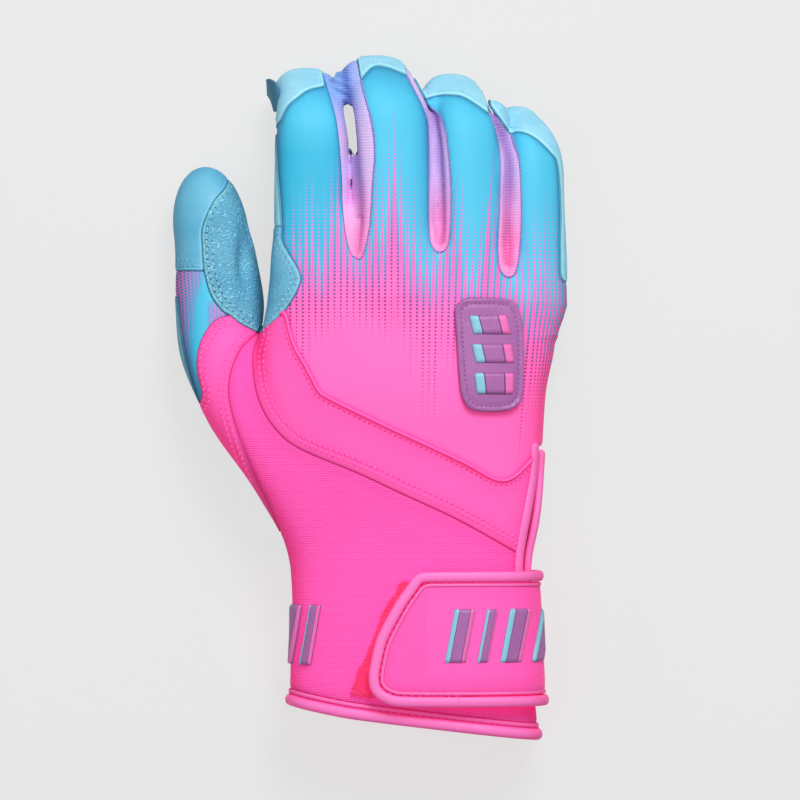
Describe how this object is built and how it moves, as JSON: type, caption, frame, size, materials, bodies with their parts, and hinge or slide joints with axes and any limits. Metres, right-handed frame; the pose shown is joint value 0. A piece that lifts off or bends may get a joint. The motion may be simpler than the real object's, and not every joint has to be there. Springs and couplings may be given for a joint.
{
  "type": "batting glove",
  "caption": "Right-hand batting glove, back of the hand up, with curled leather fingertips, printed back panel, bound wrist slit and a hook-and-loop strap.",
  "frame": {"origin": "centre of the bounding box at its lowest level, where the palm lies on a surface", "axes": "+Y from the wrist opening to the fingertips, +Z out of the back of the hand, +X towards the little finger"},
  "size_m": [0.1399, 0.2431, 0.047],
  "materials": {
    "palm_leather": "smooth sheepskin, light blue",
    "grained_leather": "grained and wrinkled, light blue",
    "cap_leather": "smooth, light blue",
    "printed_fabric": "stretch panel printed with dots, blue to pink",
    "smooth_fabric": "smooth coated stretch fabric, pink",
    "knit_fabric": "fine ribbed knit, pink",
    "binding": "rolled binding, pink",
    "fourchette_knit": "light knit, lavender to blue",
    "loop_fabric": "fuzzy loop pile, red pink",
    "hook_tape": "hook tape, pink",
    "strap_fabric": "padded strap with a smooth face, pink",
    "moulded_rubber": "satin moulded rubber, purple"
  },
  "bodies": {
    "glove": {"palm_leather": "palm_leather", "thumb_palm_leather": "grained_leather", "back_panel": "printed_fabric", "fourchette_index_middle": "fourchette_knit", "fourchette_middle_ring": "fourchette_knit", "fourchette_ring_little": "fourchette_knit", "index_side_wrap": "grained_leather", "wrist_band": "smooth_fabric", "band_piping": "binding", "thumb_cap": "cap_leather", "thumb_back_panel": "printed_fabric", "thumb_saddle": "smooth_fabric", "cuff_back_knit": "knit_fabric", "cuff_palm_knit": "knit_fabric", "hem_binding": "binding", "slit_binding_left": "binding", "slit_binding_right": "binding", "slit_gusset": "knit_fabric", "loop_patch": "loop_fabric", "strap_root": "strap_fabric", "cuff_bar_1": "moulded_rubber", "cuff_bar_2": "moulded_rubber", "badge_plate": "moulded_rubber", "badge_bar_1": "moulded_rubber", "badge_bar_2": "moulded_rubber", "badge_bar_3": "moulded_rubber"},
    "tab": {"strap_tab": "strap_fabric", "tab_binding": "binding", "hook_patch": "hook_tape", "tab_bar_1": "moulded_rubber", "tab_bar_2": "moulded_rubber", "tab_bar_3": "moulded_rubber", "tab_bar_4": "moulded_rubber"}
  },
  "joints": [
    {"name": "strap_peel", "type": "hinge", "parent": "glove", "child": "tab", "pos_m": [0.0629, -0.0858, 0.021], "axis": [0, 1, 0], "range_deg": [0, 150]}
  ]
}
